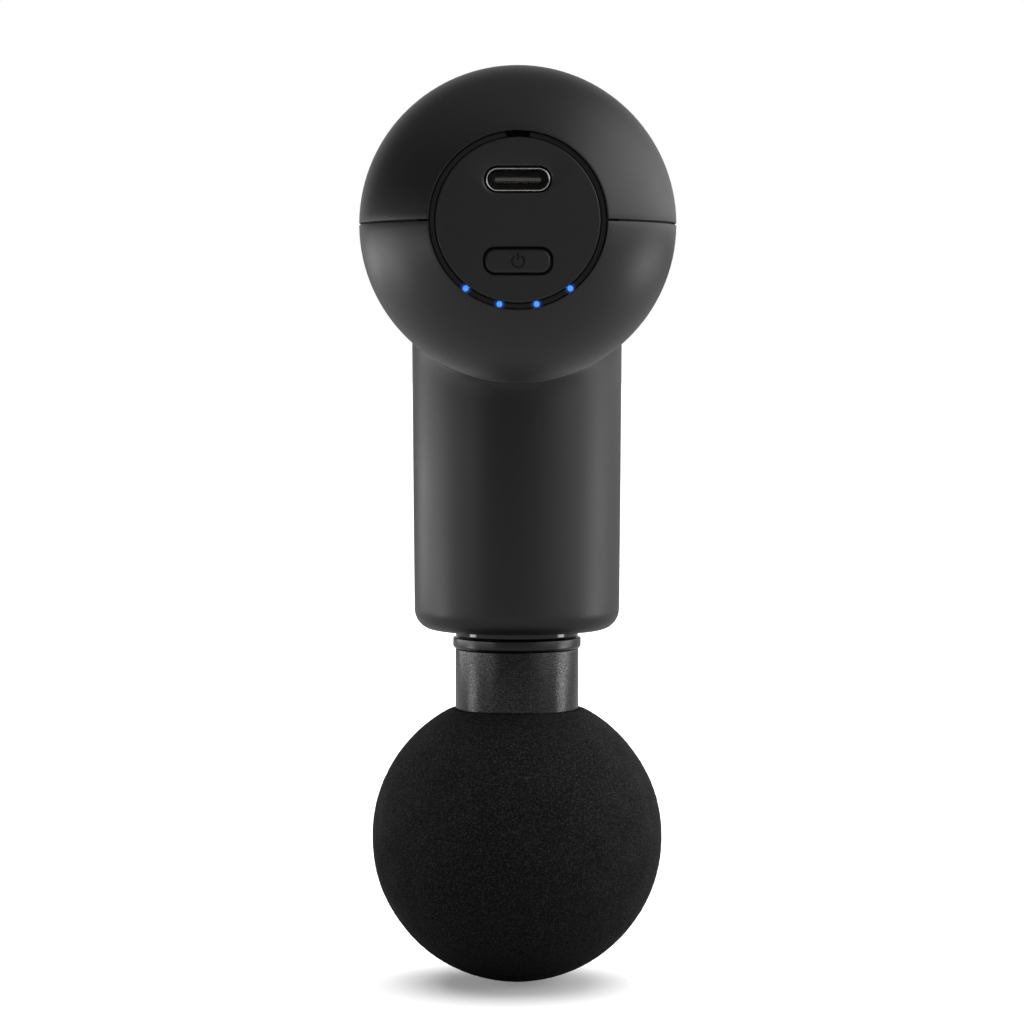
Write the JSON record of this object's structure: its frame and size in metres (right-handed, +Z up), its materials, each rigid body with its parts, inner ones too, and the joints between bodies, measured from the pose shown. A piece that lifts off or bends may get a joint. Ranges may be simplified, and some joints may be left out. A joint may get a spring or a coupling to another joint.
{
  "type": "massage gun",
  "caption": "Small percussion massager with a round domed handle, a tubular snout and a foam ball head; motor, crank and plunger inside, charging port and power button in the butt.",
  "frame": {"origin": "on the handle's axis, in the middle of its straight grip", "axes": "+Z up, away from the massage head; -Y along the handle towards the butt with the port and button; +X to the right when looking at the butt"},
  "size_m": [0.0486, 0.1421, 0.1471],
  "materials": {
    "shell_plastic": "satin",
    "disc_plastic": "satin",
    "plug_rubber": "matte",
    "smoked_plastic": "gloss",
    "light_glow": "gloss",
    "inner_plastic": "matte",
    "board": "satin",
    "plated_steel": "satin",
    "bearing_steel": "polished",
    "cell_wrap": "satin",
    "cast_aluminium": "matte",
    "core_steel": "matte",
    "copper": "gloss",
    "bush_brass": "satin",
    "bush_plastic": "satin",
    "plunger_metal": "gloss",
    "head_plastic": "matte",
    "ring_rubber": "satin",
    "foam": "matte"
  },
  "bodies": {
    "housing": {"lower_shell": "shell_plastic", "upper_shell": "shell_plastic", "vent_cap": "shell_plastic", "end_disc": "disc_plastic", "screw_plugs": "plug_rubber", "frame_isolators": "plug_rubber", "nose_seal": "plug_rubber", "light_ring": "smoked_plastic", "light_pipes": "light_glow", "light_chips": "light_glow", "end_carrier": "inner_plastic", "front_cell_holder": "inner_plastic", "rear_cell_holder": "inner_plastic", "key_switch": "inner_plastic", "usb_tongue": "inner_plastic", "board_chips": "inner_plastic", "driver_chips": "inner_plastic", "control_board": "board", "driver_board": "board", "ribbon_cable": "board", "usb_shell": "plated_steel", "shell_screws": "plated_steel", "carrier_screws": "plated_steel", "frame_screws": "plated_steel", "motor_screws": "plated_steel", "nickel_strips": "plated_steel", "bush_clip": "plated_steel", "bearing_outer_rings": "bearing_steel", "bearing_balls": "bearing_steel", "battery_cell_1": "cell_wrap", "battery_cell_2": "cell_wrap", "battery_cell_3": "cell_wrap", "drive_frame": "cast_aluminium", "motor_base": "cast_aluminium", "stator_core": "core_steel", "windings": "copper", "power_leads": "copper", "motor_leads": "copper", "guide_bush": "bush_plastic"},
    "rotor": {"rotor_bell": "bearing_steel", "magnets": "bearing_steel", "motor_shaft": "bearing_steel", "bearing_inner_rings": "bearing_steel", "crank_wheel": "bearing_steel", "crank_pin": "bearing_steel"},
    "plunger": {"plunger": "plunger_metal", "wrist_pin": "bearing_steel"},
    "conrod": {"connecting_rod": "cast_aluminium", "big_end_outer_ring": "bearing_steel", "big_end_inner_ring": "bearing_steel", "big_end_balls": "bearing_steel", "small_end_bush": "bush_brass"},
    "head": {"head_stem": "head_plastic", "head_o_rings": "plug_rubber", "damping_ring": "ring_rubber", "head_collar": "head_plastic", "head_core": "head_plastic", "foam_ball": "foam"},
    "button": {"power_button": "disc_plastic", "switch_stem": "inner_plastic"}
  },
  "joints": [
    {"name": "motor_spin", "type": "hinge", "parent": "housing", "child": "rotor", "pos_m": [0, 0.0523, 0], "axis": [0, 1, 0], "continuous": true},
    {"name": "plunger_slide", "type": "slide", "parent": "housing", "child": "plunger", "axis": [0, 0, -1], "range_m": [0, 0.007]},
    {"name": "conrod_swing", "type": "hinge", "parent": "plunger", "child": "conrod", "pos_m": [0, 0.0523, -0.0285], "axis": [0, 1, 0], "range_deg": [-6.3, 6.3]},
    {"name": "head_pull_off", "type": "slide", "parent": "plunger", "child": "head", "axis": [0, 0, -1], "range_m": [0, 0.024]},
    {"name": "power_button_press", "type": "slide", "parent": "housing", "child": "button", "axis": [0, 1, 0], "range_m": [0, 0.0005], "stiffness_N_per_m": 4000}
  ]
}
